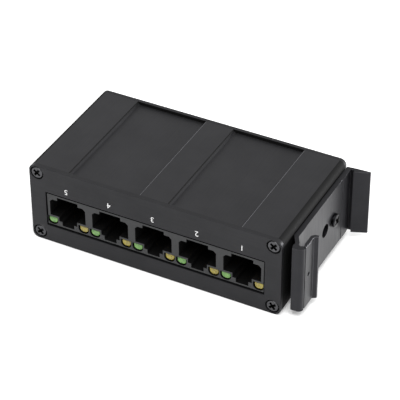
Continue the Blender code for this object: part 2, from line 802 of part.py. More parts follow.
def make_terminal_cages(plug, screw_y):
    """A small metal tray in each way, open above for its clamp screw."""
    half = WIRE_HOLE_W / 2 - GAP
    length = WIRE_HOLE_D / 2 - 2 * GAP
    right = [(half, -half), (half, half), (half - CAGE_T, half), (half - CAGE_T, CAGE_T - half)]
    for i, x in enumerate(way_places(), 1):
        outline = [(x + dx, z) for dx, z in mirrored(right)]
        cage = prism(
            f"terminal_cage_{i}", outline, screw_y - length, screw_y + length, "Y", "brass")
        cage.parent = plug


def make_clamp_screw(name, plug, top):
    """Slotted clamp screw, with its origin on its own axis at its top."""
    bm = bmesh.new()
    add_rod(bm, CLAMP_R, (0.0, 0.0, 0.0), (0.0, 0.0, -CLAMP_LEN), 20)
    screw = to_object(name, bm, "zinc_steel", top)
    screw.parent = plug
    half = CROSS_W / 2
    past = 0.2 * MM
    bm = bmesh.new()
    add_block(bm, (-CLAMP_R - past, -half, -2 * CROSS_DEPTH), (CLAMP_R + past, half, past))
    cut(screw, bm)
    smooth(screw)


def lamp_height():
    """Height of the power light's axis."""
    return terminal_middle()


def make_power_light():
    """Round light in the rear plate, in a holder that stands on the board."""
    z = lamp_height()
    tip = REAR + LAMP_PROUD
    bm = bmesh.new()
    dome = LAMP_R * 0.6
    profile = [
        (0.0, LAMP_R), (LAMP_LEN - dome, LAMP_R), (LAMP_LEN - dome * 0.4, LAMP_R * 0.8),
        (LAMP_LEN, LAMP_R * 0.35),
    ]
    add_turned(bm, profile, (0.0, tip - LAMP_LEN, z), (0.0, 1.0, 0.0))
    smooth(to_object("power_light", bm, "green_lens"))
    half = LAMP_HOLDER_W / 2
    end = REAR - PLATE_T - GAP
    start = tip - LAMP_LEN - 2 * GAP
    holder = block(
        "power_light_holder", (-half, start, PART_LOW), (half, end, z + half), "black_plastic")
    bm = bmesh.new()
    past = 1.0 * MM
    add_rod(bm, LAMP_R + GAP, (0.0, tip - LAMP_LEN - GAP, z), (0.0, end + past, z), 20)
    cut(holder, bm)
    smooth(holder)


def clip_leg():
    """The bend's sloping leg: its outer face's two ends, and the offset to its inner face."""
    top = Vector((THROAT_OUT - THROAT_R, THROAT_BACK + 0.5 * THROAT_R))
    foot = Vector((CLIP_T, LEG_FOOT))
    along = (foot - top).normalized()
    return top, foot, Vector((-along.y, along.x)) * LEG_T


def clip_body_outline():
    """Fixed part of the clip: plate, rear hook with its tongue, and the bend at the front."""
    top, foot, inset = clip_leg()
    leg = foot - top
    root = top + inset
    heel = root + leg * (-root.x / leg.x)
    slot_end = LEG_FOOT + RAIL_W + RAIL_CLEAR
    low_face = CLIP_T - RELIEF
    lands = (LEG_FOOT + LAND_LEN, slot_end - LAND_LEN)
    hook = CLIP_T + SLOT_T
    hook_back = slot_end - CATCH
    tip = CLIP_T + TONGUE_OUT
    tip_back = hook_back + TONGUE_LEAN
    nose = root.x + NOSE_FLAT / 2
    points = [(heel.x, heel.y), (root.x, root.y), (nose - NOSE_FLAT, BEND_R), (nose, 0.0)]
    points += arc(ARM_OUT - BEND_R, BEND_R, BEND_R, -90, 0, 10)
    points += arc(THROAT_OUT, THROAT_BACK, THROAT_R, BEND_END, -180, 14)
    points += [(top.x, top.y), (foot.x, foot.y)]
    points += [(CLIP_T, lands[0]), (low_face, lands[0]), (low_face, lands[1]), (CLIP_T, lands[1])]
    points += [(CLIP_T, hook_back - GAP), (low_face, hook_back - GAP), (low_face, slot_end)]
    points += [(hook, slot_end), (hook, hook_back), (tip, tip_back)]
    points += [(tip, tip_back + TIP_T), (hook, slot_end + HEEL_T), (0.0, slot_end + HEEL_INNER_T)]
    return points


def clip_arm_outline():
    """Sprung arm of the clip, with its flared lip, from the throat's middle."""
    inner = ARM_OUT - ARM_T
    lip_back = LIP_BACK + LIP_RISE
    points = [
        (ARM_OUT, BEND_R + 1.5 * GAP), (ARM_OUT, LIP_BACK), (ARM_OUT + LIP_OUT, lip_back),
        (ARM_OUT + LIP_OUT, lip_back + LIP_T), (ARM_OUT - ARM_TAPER, lip_back + LIP_T),
        (inner, LIP_BACK + 0.5 * LIP_T), (inner, THROAT_BACK + THROAT_R),
        (inner + ARM_TAPER, THROAT_BACK),
    ]
    return [(out - THROAT_OUT, back - THROAT_BACK) for out, back in points]


def add_clip_hole(bm, y, radius, past=1.0):
    """A round hole through the clip's plate."""
    start = (CLIP_X - past * MM, y, MID_Z)
    add_rod(bm, radius, start, (SEAT_X + past * MM, y, MID_Z), 20)


def make_rail_clip():
    """Clip for a 35 mm rail, screwed to the case's side, with its sprung arm and its screws."""
    low = MID_Z - CLIP_LEN / 2
    outline = [(CLIP_X + out, CLIP_Y + back) for out, back in clip_body_outline()]
    clip = prism("rail_clip", outline, low, low + CLIP_LEN, "Z", "black_anodised")
    bm = bmesh.new()
    add_clip_hole(bm, CLIP_HOLE_Y, CLIP_HOLE_R)
    for y in CLIP_SCREWS_Y:
        add_clip_hole(bm, y, CLIP_SHANK_R + GAP)
    cut(clip, bm)
    smooth(clip)
    at = (CLIP_X + THROAT_OUT, CLIP_Y + THROAT_BACK, MID_Z)
    half = CLIP_LEN / 2
    arm = prism("rail_clip_arm", clip_arm_outline(), -half, half, "Z", "black_anodised", at)
    bm = bmesh.new()
    middle = (BEND_R + LIP_BACK) / 2 - THROAT_BACK
    add_rod(bm, ARM_HOLE_R, (0.0, middle, 0.0), (ARM_OUT, middle, 0.0), 16)
    cut(arm, bm)
    smooth(arm)


def make_clip_screws():
    """Two screws through the clip into the case's side wall."""
    mesh = screw_mesh(CLIP_HEAD_R, CLIP_HEAD_T, CLIP_SHANK_R, CLIP_SHANK_LEN, "blackened_steel")
    for i, y in enumerate(CLIP_SCREWS_Y, 1):
        at = (SEAT_X - RELIEF + GAP + CLIP_HEAD_T, y, MID_Z)
        place_copy(f"rail_clip_screw_{i}", mesh, at, (0, 90, 0))


def main():
    """Build the whole switch."""
    clear_scene()
    make_case_tube()
    make_front_plate()
    make_rear_plate()
    make_end_screws()
    make_jack_housing()
    make_port_lights()
    make_contact_inserts()
    make_board()
    make_board_parts()
    make_power_socket()
    make_terminal_header()
    make_terminal_plug()
    make_power_light()
    make_rail_clip()
    make_clip_screws()


main()
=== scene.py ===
"""Looks for the five-port network switch: finished surfaces, small details, light and camera."""

import math

import bmesh
import bpy
from mathutils import Matrix, Vector


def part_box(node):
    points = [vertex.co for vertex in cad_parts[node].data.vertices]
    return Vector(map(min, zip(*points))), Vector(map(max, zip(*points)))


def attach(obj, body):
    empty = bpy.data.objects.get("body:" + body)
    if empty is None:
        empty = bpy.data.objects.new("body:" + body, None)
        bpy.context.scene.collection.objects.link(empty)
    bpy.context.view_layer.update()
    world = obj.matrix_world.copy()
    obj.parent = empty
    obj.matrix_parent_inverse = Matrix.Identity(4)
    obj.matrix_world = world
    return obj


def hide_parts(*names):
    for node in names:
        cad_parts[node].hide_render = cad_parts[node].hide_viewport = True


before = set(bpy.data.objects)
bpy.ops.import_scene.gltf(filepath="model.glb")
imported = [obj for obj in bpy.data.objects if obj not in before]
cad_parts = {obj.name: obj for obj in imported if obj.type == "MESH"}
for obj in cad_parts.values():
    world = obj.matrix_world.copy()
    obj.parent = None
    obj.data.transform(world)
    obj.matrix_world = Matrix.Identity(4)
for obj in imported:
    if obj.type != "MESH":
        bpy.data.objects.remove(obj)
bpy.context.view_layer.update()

MM = 0.001
CASE, ARM, PLUG = "switch", "clip_arm", "plug"

# Edges as they are made
CUT_EDGE = 0.12 * MM            # punched and deburred plates
HIGHLIT_RIM = 0.20 * MM          # channels' rims towards +X, with a painted highlight
SHADED_RIM = 0.28 * MM            # and towards -X, with painted shade
FOOT_R = 0.62 * MM              # round feet of the channels' walls
SEAM = 0.03 * MM                # left between the case and its end plates
MOULD_EDGE = 0.10 * MM          # moulded plastic
SHARP = math.radians(32)
TOUCH = 0.01 * MM               # how near a point lies to the plane it is on
WELD = 0.001 * MM               # points this near are one
FACING = 0.9                    # a normal this near to a direction faces that way

# Sections that the case, the jacks and the clip are made to
CORNER_R = 2.0 * MM
UPRIGHT = 0.12                  # faces that lean further to a side than this get painted shade
SIDE_WALL = 1.6 * MM
TOP_WALL = 2.2 * MM
CHANNEL_W = 22.6 * MM
CHANNEL_X = 15.9 * MM
CHANNEL_DEPTH = 1.0 * MM
BOSS_LOW = 4.1 * MM             # screw bosses inside, from the case's underside
BOSS_HIGH = 4.5 * MM            # and from its top
GAP = 0.3 * MM                  # left between neighbours
WINDOW_LOW_GAP = 0.6 * MM
WINDOW_TOP_GAP = 0.55 * MM

# Screws
SCREW_INSET = 2.55 * MM
HEAD_R = 1.85 * MM
HEAD_T = 0.7 * MM
SHANK_R = 0.75 * MM
POINT_LEN = 0.5 * MM
CLIP_HEAD_T = 0.8 * MM
CLIP_SHANK_R = 1.1 * MM
CLIP_POINT_LEN = 0.7 * MM
SCREW_TURNS = (40.0, 52.0, 36.0, 48.0)
RECESS_SHARE = 0.8              # depth of the cross, in head heights
CROSS_LEN = 1.34                # its length and width, in head radii
CROSS_W = 0.42
CROSS_TAPER = 0.72              # size of its floor to its mouth
FLAT_SHARE = 0.82               # flat part of the head, in head radii

# Printed numbers
INK_T = 0.012 * MM
NUMBER_SIZE = 2.5 * MM
NUMBER_BOLD = 0.005 * MM
NUMBER_Z = 19.7 * MM

# Row of ports
PORT_PITCH = 13.97 * MM
PORTS = 5
MIDDLE_Z = 13.0 * MM

# Camera, as a direction, a distance and a lens
CAMERA_AZIMUTH = 27.57
CAMERA_ELEVATION = 36.97
CAMERA_ROLL = -0.265
CAMERA_DISTANCE = 556.46 * MM
CAMERA_AIM = (3.504 * MM, 0.651 * MM, 13.0 * MM)
CAMERA_LENS = 173.46

# Lamps: place, width and power
LAMPS = {
    "overhead": ((0.25, -0.3, 1.0), 0.8, 10.0),
    "right_side": ((0.8, 0.45, 0.12), 0.2, 12.0),
    "left_side": ((-0.9, 0.2, 0.5), 0.5, 5.0),
}
SKY = 0.8
FLOOR_HALF = 3.0


# ---------------------------------------------------------------- materials

def linear(hex_colour):
    """A linear RGBA colour from an sRGB hex string."""
    channels = []
    for i in (0, 2, 4):
        value = int(hex_colour[i:i + 2], 16) / 255
        channels.append(value / 12.92 if value <= 0.04045 else ((value + 0.055) / 1.055) ** 2.4)
    return (*channels, 1.0)


def add_node(tree, kind, links=None, **settings):
    """A node with its settings (properties or input values) and its incoming links."""
    made = tree.nodes.new(kind)
    for key, value in settings.items():
        if hasattr(made, key):
            setattr(made, key, value)
        else:
            made.inputs[key.replace("_", " ")].default_value = value
    for key, socket in (links or {}).items():
        tree.links.new(socket, made.inputs[key])
    return made


def new_material(name, **values):
    """A material with a Principled shader and its plain values; returns it, its tree and shader."""
    made = bpy.data.materials.new(name)
    made.use_nodes = True
    tree = made.node_tree
    shader = tree.nodes["Principled BSDF"]
    for key, value in values.items():
        shader.inputs[key.replace("_", " ")].default_value = value
    return made, tree, shader


def grain(tree, cell, stretch=(1.0, 1.0, 1.0), detail=3.0):
    """Noise on Object coordinates; cell is the pattern's size in metres, stretch draws it out."""
    where = add_node(tree, "ShaderNodeTexCoord").outputs["Object"]
    scale = [1.0 / (cell * part) for part in stretch]
    place = add_node(tree, "ShaderNodeMapping", {"Vector": where}, Scale=scale)
    noise = add_node(
        tree, "ShaderNodeTexNoise", {"Vector": place.outputs["Vector"]}, Scale=1.0, Detail=detail,
        Roughness=0.6)
    return noise.outputs["Fac"]


def spread(tree, source, low, high):
    """The noise's middle range mapped onto two values."""
    ranged = add_node(
        tree, "ShaderNodeMapRange", {"Value": source}, From_Min=0.3, From_Max=0.7, To_Min=low,
        To_Max=high)
    return ranged.outputs["Result"]


def tint(tree, source, dark, light):
    """A colour between two hex colours."""
    ranged = spread(tree, source, 0.0, 1.0)
    mixed = add_node(tree, "ShaderNodeMix", {"Factor": ranged}, data_type="RGBA")
    mixed.inputs[6].default_value = linear(dark)
    mixed.inputs[7].default_value = linear(light)
    return mixed.outputs[2]


def relief(tree, shader, source, depth, strength=1.0):
    """Surface relief of a real depth in metres."""
    bump = add_node(
        tree, "ShaderNodeBump", {"Height": source}, Strength=strength, Distance=depth)
    tree.links.new(bump.outputs["Normal"], shader.inputs["Normal"])


def anodised(name, dark, light, stretch, rough=(0.42, 0.52), metallic=0.75):
    """Black anodised aluminium, extruded: a satin skin over faint die lines along its length."""
    made, tree, shader = new_material(name, Metallic=metallic)
    lines = grain(tree, 0.35 * MM, stretch, 2.0)
    clouds = grain(tree, 9.0 * MM)
    tree.links.new(tint(tree, clouds, dark, light), shader.inputs["Base Color"])
    tree.links.new(spread(tree, lines, *rough), shader.inputs["Roughness"])
    relief(tree, shader, lines, 0.006 * MM)
    return made


def moulded(name, dark, light, rough=(0.45, 0.60), depth=0.008, cell=0.25, **values):
    """Moulded plastic: a fine spark-eroded texture."""
    made, tree, shader = new_material(name, IOR=1.53, **values)
    pits = grain(tree, cell * MM)
    clouds = grain(tree, 6.0 * MM)
    tree.links.new(tint(tree, clouds, dark, light), shader.inputs["Base Color"])
    tree.links.new(spread(tree, pits, *rough), shader.inputs["Roughness"])
    relief(tree, shader, pits, depth * MM)
    return made


def metal(name, dark, light, rough=(0.25, 0.40), cell=0.4, stretch=(1.0, 1.0, 1.0)):
    """Bare or plated metal with a slightly uneven finish."""
    made, tree, shader = new_material(name, Metallic=1.0)
    marks = grain(tree, cell * MM, stretch)
    tree.links.new(tint(tree, marks, dark, light), shader.inputs["Base Color"])
    tree.links.new(spread(tree, marks, *rough), shader.inputs["Roughness"])
    relief(tree, shader, marks, 0.003 * MM)
    return made


def lens_plastic(name, dark, light):
    """Tinted diffusing polycarbonate: glossy, with a little depth."""
    made, tree, shader = new_material(name, IOR=1.58, Coat_Weight=0.4, Coat_Roughness=0.12)
    clouds = grain(tree, 0.9 * MM)
    tree.links.new(tint(tree, clouds, dark, light), shader.inputs["Base Color"])
    tree.links.new(spread(tree, clouds, 0.22, 0.34), shader.inputs["Roughness"])
    return made


def board_mask():
    """Solder mask over copper tracks: glossy green with faint darker lanes."""
    made, tree, shader = new_material("solder_mask", IOR=1.5, Roughness=0.3)
    where = add_node(tree, "ShaderNodeTexCoord").outputs["Object"]
    lanes = add_node(
        tree, "ShaderNodeTexBrick", {"Vector": where}, Scale=1.0 / (2.0 * MM), Mortar_Size=0.06,
        Color1=linear("0b4a30"), Color2=linear("0d5235"), Mortar=linear("126242"))
    tree.links.new(lanes.outputs["Color"], shader.inputs["Base Color"])
    relief(tree, shader, lanes.outputs["Fac"], 0.03 * MM, 0.5)
    return made


LONG = 30.0                     # die lines are this many times longer than wide
FINISH = {
    # Anodised extrusions and sheet: satin black; the clip's edges and the channels' +X rims lighter
    # as painted highlight
    "case": anodised("anodised_case", "2b2b2d", "303032", (1.0, LONG, 1.0)),
    "plate": anodised("anodised_plate", "252527", "2a2a2c", (LONG, 1.0, 1.0), (0.44, 0.54)),
    "clip": anodised("anodised_clip", "1e1e21", "262629", (1.0, 1.0, LONG), (0.3, 0.42), 0.7),
    "edge": anodised("painted_edge_highlight", "4c4c4f", "5e5e61", (1.0, 1.0, 1.0), (0.3, 0.4), 0.9),
    "rim": anodised("painted_rim_highlight", "6c6c70", "808084", (1.0, 1.0, 1.0), (0.3, 0.4), 0.9),
    # Painted shade for the case's sides, the channels' walls and rims, the plates' insides and the
    # sockets; then the dull plastics
    "wall": moulded("painted_dark_shade", "040404", "070708", (0.7, 0.8), Specular_IOR_Level=0.15),
    "foot": moulded("painted_channel_shade", "19191b", "1e1e20", (0.8, 0.9), Specular_IOR_Level=0.2),
    "jack": moulded("nylon_jack", "141517", "1a1b1d"),
    "socket": moulded("painted_socket_shade", "020202", "040404", (0.8, 0.9), Specular_IOR_Level=0.12),
    "black": moulded("black_nylon", "161617", "1d1d1f"),
    "terminal": moulded("terminal_nylon", "1c6b3c", "227846", (0.35, 0.5)),
    # Plated and bare metals: the screws dull, the contacts bright
    "screw": metal("zinc_steel", "404042", "565658"),
    # The screws' crosses are painted in shade
    "recess": metal("painted_recess_shade", "080808", "0c0c0c", (0.6, 0.7)),
    "clip_screw": metal("blackened_steel", "222224", "2e2e30"),
    "gold": metal("gold_plate", "c79a3e", "d8ac50", (0.18, 0.3)),
    "tin": metal("tinned_pin", "9c9c9e", "b4b4b6", (0.25, 0.4)),
    "brass": metal("plated_brass", "9a8350", "b09a66", (0.25, 0.4)),
    "can": metal("aluminium_can", "8f9092", "a7a8aa", (0.3, 0.45), 0.5, (1.0, 1.0, LONG)),
    # Tinted lenses, the board and the printed numbers
    "green": lens_plastic("green_lens", "306a1a", "66943c"),
    "yellow": lens_plastic("yellow_lens", "6a5c00", "96880c"),
    "mask": board_mask(),
    "ink": moulded("white_ink", "d2d2d2", "e2e2e2", (0.5, 0.7), 0.004, 0.12),
}


# ---------------------------------------------------------------- mesh helpers

def finished(name, bm, finish, body, replaced=(), second=()):
    """A piece from a bmesh, shaded, with its materials, on its body."""
    bmesh.ops.recalc_face_normals(bm, faces=bm.faces[:])
    mesh = bpy.data.meshes.new(name)
    bm.to_mesh(mesh)
    bm.free()
    mesh.materials.append(FINISH[finish])
    for other in second:
        mesh.materials.append(FINISH[other])
    mesh.shade_smooth()
    mesh.set_sharp_from_angle(angle=SHARP)
    obj = bpy.data.objects.new(name, mesh)
    bpy.context.scene.collection.objects.link(obj)
    normals = obj.modifiers.new("flat_faces_stay_flat", "WEIGHTED_NORMAL")
    normals.keep_sharp = True
    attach(obj, body)
    if replaced:
        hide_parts(*replaced)
    return obj


def outline_face(bm, points, place):
    """One flat face from an outline; place turns (a, b) into a point."""
    return bm.faces.new([bm.verts.new(place(a, b)) for a, b in points])


def rounded(bm, face, corners, radius, segments=6):
    """Round the named corners of a flat face."""
    verts = list(face.verts)
    chosen = [verts[i] for i in corners]
    bmesh.ops.bevel(
        bm, geom=chosen, offset=radius, offset_type="OFFSET", segments=segments, profile=0.5,
        affect="VERTICES", material=-1)


def disc(bm, radius, matrix, segments=32):
    """A flat round face."""
    made = bmesh.ops.create_circle(
        bm, cap_ends=True, segments=segments, radius=radius, matrix=matrix)
    return made["verts"][0].link_faces[0]


def pierced(bm):
    """Turn all the flat faces so far into one sheet whose inner outlines are holes."""
    bmesh.ops.delete(bm, geom=bm.faces[:], context="FACES_ONLY")
    bmesh.ops.triangle_fill(bm, edges=bm.edges[:], use_beauty=True)
    return bm.faces[:]


def split_geom(geom):
    """The vertices and the edges among the geometry that an operator returns."""
    verts = [item for item in geom if isinstance(item, bmesh.types.BMVert)]
    edges = [item for item in geom if isinstance(item, bmesh.types.BMEdge)]
    return verts, edges


def thicken(bm, faces, vec):
    """Extrude a sheet into a solid."""
    verts, _ = split_geom(bmesh.ops.extrude_face_region(bm, geom=faces)["geom"])
    bmesh.ops.translate(bm, vec=Vector(vec), verts=verts)


def break_edges(bm, width, segments=2, keep=None, slot=0):
    """Bevel the sharp edges of a solid; slot is the material of the new faces."""
    bmesh.ops.recalc_face_normals(bm, faces=bm.faces[:])
    edges = []
    for edge in bm.edges:
        if len(edge.link_faces) == 2 and edge.calc_face_angle() > SHARP:
            if keep is None or keep(edge):
                edges.append(edge)
    made = bmesh.ops.bevel(
        bm, geom=edges, offset=width, offset_type="OFFSET", segments=segments, profile=0.5,
        affect="EDGES", clamp_overlap=True, material=-1)
    for face in made["faces"]:
        face.material_index = slot


def softened(name, node, finish, body, width, second=()):
    """A piece on a CAD node's own shape, its flat faces made whole and its edges broken."""
    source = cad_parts[node]
    bm = bmesh.new()
    bm.from_mesh(source.data)
    bmesh.ops.transform(bm, matrix=source.matrix_world, verts=bm.verts[:])
    bmesh.ops.remove_doubles(bm, verts=bm.verts[:], dist=WELD)
    bmesh.ops.dissolve_limit(
        bm, angle_limit=math.radians(1), verts=bm.verts[:], edges=bm.edges[:])
    for face in bm.faces:
        face.material_index = 0
    break_edges(bm, width, 2, None, 1 if second else 0)
    return finished(name, bm, finish, body, [node], second)


def add_block(bm, low, high):
    """A box between two corners; returns its vertices."""
    centre = (Vector(low) + Vector(high)) / 2
    size = Vector(high) - Vector(low)
    matrix = Matrix.Translation(centre) @ Matrix.Diagonal((*size, 1.0))
    return bmesh.ops.create_cube(bm, size=1.0, matrix=matrix)["verts"]


def along(direction):
    """Rotation that turns +Z to a direction."""
    return Vector(direction).to_track_quat("Z", "Y").to_matrix().to_4x4()


def draw_out(bm, edges, profile, matrix):
    """Carry a round loop through (height, radius) steps from the first one, and cap its end."""
    height, radius = profile[0]
    for next_height, next_radius in profile[1:]:
        verts, edges = split_geom(bmesh.ops.extrude_edge_only(bm, edges=edges)["geom"])
        grow = next_radius / radius
        step = (
            matrix @ Matrix.Translation((0.0, 0.0, next_height))
            @ Matrix.Diagonal((grow, grow, 1.0, 1.0))
            @ Matrix.Translation((0.0, 0.0, -height)) @ matrix.inverted())
        bmesh.ops.transform(bm, matrix=step, verts=verts)
        height, radius = next_height, next_radius
    bmesh.ops.edgeloop_fill(bm, edges=edges)


def turned(bm, profile, matrix):
    """A turned solid from (height, radius) steps."""
    height, radius = profile[0]
    base = disc(bm, radius, matrix @ Matrix.Translation((0.0, 0.0, height)))
    draw_out(bm, list(base.edges), profile, matrix)


def cross_points(length, width):
    """A driver's cross, centred on its axis."""
    points = []
    for turn in range(4):
        spin = Matrix.Rotation(math.radians(90 * turn), 2)
        for x, y in ((length, width), (width, width), (width, length)):
            points.append(tuple(spin @ Vector((x / 2, y / 2))))
    return points


def arc(cx, cy, radius, start, end, steps):
    """Points round an arc, angles in degrees."""
    points = []
    for i in range(steps + 1):
        angle = math.radians(start + (end - start) * i / steps)
        points.append((cx + radius * math.cos(angle), cy + radius * math.sin(angle)))
    return points


def mirrored(right):
    """A closed outline from its right half, listed upwards."""
    return right + [(-a, b) for a, b in reversed(right)]


def port_places():
    """Middles of the ports along X, port 1 beside the rail clip."""
    return [((PORTS - 1) / 2 - i) * PORT_PITCH for i in range(PORTS)]


# ---------------------------------------------------------------- case

def tube_section():
    """The case's outer section with its four shallow channels, round at the foot of their walls."""
    low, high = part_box("case_tube")
    near = CHANNEL_X - CHANNEL_W / 2
    far = CHANNEL_X + CHANNEL_W / 2
    half = (high[0] - low[0]) / 2
    top = high[2]
    corner = half - CORNER_R
    foot = lambda x, z, start, end: arc(x, z, FOOT_R, start, end, 5)
    low_foot = CHANNEL_DEPTH - FOOT_R
    high_foot = top - low_foot
    right = [(near, 0.0)] + foot(near + FOOT_R, low_foot, 180, 90)
    right += foot(far - FOOT_R, low_foot, 90, 0) + [(far, 0.0)]
    right += arc(corner, CORNER_R, CORNER_R, -90, 0, 10)
    right += arc(corner, top - CORNER_R, CORNER_R, 0, 90, 10)
    right += [(far, top)] + foot(far - FOOT_R, high_foot, 0, -90)
    right += foot(near + FOOT_R, high_foot, -90, -180) + [(near, top)]
    return mirrored(right)


def make_tube():
    """Extruded case, hollow inside: one rim of each channel has a painted highlight, the other
    painted shade.
    """
    low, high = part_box("case_tube")
    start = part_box("front_plate")[1][1] + SEAM
    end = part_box("rear_plate")[0][1] - SEAM
    place = lambda x, z: (x, start, z)
    bm = bmesh.new()
    outline_face(bm, tube_section(), place)
    inner = high[0] - SIDE_WALL
    boss = high[0] - 2 * SCREW_INSET
    upper = high[2] - TOP_WALL
    right = [
        (boss, TOP_WALL), (boss, BOSS_LOW), (inner, BOSS_LOW), (inner, high[2] - BOSS_HIGH),
        (boss, high[2] - BOSS_HIGH), (boss, upper),
    ]
    outline_face(bm, mirrored(right), place)
    thicken(bm, pierced(bm), (0.0, end - start, 0.0))
    outside = lambda z: min(abs(z), abs(z - high[2])) < TOUCH
    # Rims towards +X get a painted highlight, rims towards -X painted shade
    for reach, width, slot in ((CHANNEL_W / 2, HIGHLIT_RIM, 1), (-CHANNEL_W / 2, SHADED_RIM, 2)):
        at_rim = lambda x: abs(abs(x - reach) - CHANNEL_X) < TOUCH
        rim = lambda edge: all(outside(vert.co.z) and at_rim(vert.co.x) for vert in edge.verts)
        break_edges(bm, width, 2, rim, slot)
    # Sides and round corners get a dark painted shade, the channels' walls and feet a lighter
    # painted shade
    for face in bm.faces:
        if face.material_index == 0 and abs(face.normal.x) > UPRIGHT:
            side = abs(face.calc_center_median().x) > high[0] - CORNER_R
            face.material_index = 2 if side else 3
    finished("tube_shell", bm, "case", CASE, ["case_tube"], ["rim", "wall", "foot"])


def plate_sheet(bm, node, windows, face_y):
    """An end plate's sheet with its windows, and a hole for each corner screw."""
    low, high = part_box(node)
    corners = [(low[0], low[2]), (high[0], low[2]), (high[0], high[2]), (low[0], high[2])]
    outer = outline_face(bm, corners, lambda x, z: (x, face_y, z))
    rounded(bm, outer, range(4), CORNER_R, 10)
    for points in windows:
        outline_face(bm, points, lambda x, z: (x, face_y, z))
    for x, z in screw_places():
        disc(bm, HEAD_R + GAP, Matrix.Translation((x, face_y, z)) @ along((0, 1, 0)))


def screw_places():
    """Axes of the corner screws."""
    low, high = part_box("case_tube")
    return [
        (x, z) for x in (low[0] + SCREW_INSET, high[0] - SCREW_INSET)
        for z in (low[2] + SCREW_INSET, high[2] - SCREW_INSET)]


def rectangle(low_x, high_x, low_z, high_z, radius, steps=4):
    """Outline of a rectangle with round corners."""
    points = arc(high_x - radius, low_z + radius, radius, -90, 0, steps)
    points += arc(high_x - radius, high_z - radius, radius, 0, 90, steps)
    points += arc(low_x + radius, high_z - radius, radius, 90, 180, steps)
    points += arc(low_x + radius, low_z + radius, radius, 180, 270, steps)
    return points


def make_plates():
    """Front and rear end plates: punched sheet with broken edges and counterbored holes."""
    jack_low, jack_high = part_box("jack_housing")
    window = rectangle(
        jack_low[0] - GAP, jack_high[0] + GAP, jack_low[2] - WINDOW_LOW_GAP,
        jack_high[2] + WINDOW_TOP_GAP, 0.2 * MM)
    power_low, power_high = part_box("power_socket")
    terminal_low, terminal_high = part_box("terminal_header")
    rear_windows = []
    for low, high in ((power_low, power_high), (terminal_low, terminal_high)):
        rear_windows.append(rectangle(
            low[0] - GAP, high[0] + GAP, low[2] - GAP, high[2] + GAP, 0.4 * MM))
    light_low, light_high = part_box("power_light")
    light_z = (light_low[2] + light_high[2]) / 2
    light_r = (light_high[0] - light_low[0]) / 2 + GAP
    rear_windows.append(arc(0.0, light_z, light_r, 0, 345, 23))
    for name, node, windows in (
            ("front_plate_sheet", "front_plate", [window]),
            ("rear_plate_sheet", "rear_plate", rear_windows)):
        low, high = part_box(node)
        bm = bmesh.new()
        plate_sheet(bm, node, windows, low[1])
        thicken(bm, pierced(bm), (0.0, high[1] - low[1], 0.0))
        outer = low[1] if low[1] < 0.0 else high[1]
        on_face = lambda edge: all(abs(vert.co.y - outer) < TOUCH for vert in edge.verts)
        break_edges(bm, CUT_EDGE, 2, on_face)
        # The plate's inner face is painted in shade
        inward = -math.copysign(1.0, outer)
        for face in bm.faces:
            if face.normal.y * inward > FACING:
                face.material_index = 1
        finished(name, bm, "plate", CASE, [node], ["wall"])


def screw_head(bm, radius, height, shank, length, matrix, dome):
    """A cross-recessed screw: head's face at z = 0 and shank down -Z, placed by a matrix."""
    recess = RECESS_SHARE * height
    cross = cross_points(CROSS_LEN * radius, CROSS_W * radius)
    flat = FLAT_SHARE * radius
    face = disc(bm, flat, matrix, 32)
    bm_verts = [bm.verts.new(matrix @ Vector((x, y, 0.0))) for x, y in cross]
    ring = [bm.edges.new((a, b)) for a, b in zip(bm_verts, bm_verts[1:] + bm_verts[:1])]
    rim = list(face.edges)
    bmesh.ops.delete(bm, geom=[face], context="FACES_ONLY")
    bmesh.ops.triangle_fill(bm, edges=rim + ring, use_beauty=True)
    verts, edges = split_geom(bmesh.ops.extrude_edge_only(bm, edges=ring)["geom"])
    sink = (
        matrix @ Matrix.Translation((0, 0, -recess))
        @ Matrix.Diagonal((CROSS_TAPER, CROSS_TAPER, 1, 1)) @ matrix.inverted())
    bmesh.ops.transform(bm, matrix=sink, verts=verts)
    bmesh.ops.edgeloop_fill(bm, edges=edges)
    # The cross's faces are painted in shade
    for face in {face for vert in verts for face in vert.link_faces}:
        face.material_index = 1
    draw_out(bm, rim, [
        (0.0, flat), (-0.25 * dome, 0.92 * radius), (-dome, radius), (-height, radius),
        (-height, shank), (-height - length, shank),
        (-height - length - 0.6 * shank, 0.4 * shank)], matrix)


def make_corner_screws():
    """Cross-recessed screws that hold the end plates."""
    for side, out in (("front", -1.0), ("rear", 1.0)):
        for i in range(1, 5):
            node = f"{side}_screw_{i}"
            low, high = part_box(node)
            middle = (Vector(low) + Vector(high)) / 2
            face = low[1] if out < 0 else high[1]
            length = high[1] - low[1] - HEAD_T - POINT_LEN
            turn = Matrix.Rotation(math.radians(SCREW_TURNS[i - 1]), 4, "Z")
            matrix = Matrix.Translation((middle.x, face, middle.z)) @ along((0, out, 0)) @ turn
            bm = bmesh.new()
            screw_head(bm, HEAD_R, HEAD_T, SHANK_R, length, matrix, 0.25 * MM)
            finished(f"{node}_head", bm, "screw", CASE, [node], ["recess"])


def make_clip_screws():
    """Screws that hold the rail clip to the case."""
    for i in (1, 2):
        node = f"rail_clip_screw_{i}"
        low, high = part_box(node)
        radius = (high[2] - low[2]) / 2
        middle = (Vector(low) + Vector(high)) / 2
        turn = Matrix.Rotation(math.radians(SCREW_TURNS[i]), 4, "Z")
        matrix = Matrix.Translation((high[0], middle.y, middle.z)) @ along((1, 0, 0)) @ turn
        bm = bmesh.new()
        length = high[0] - low[0] - CLIP_HEAD_T - CLIP_POINT_LEN
        screw_head(bm, radius, CLIP_HEAD_T, CLIP_SHANK_R, length, matrix, 0.3 * MM)
        finished(f"{node}_head", bm, "clip_screw", CASE, [node], ["recess"])


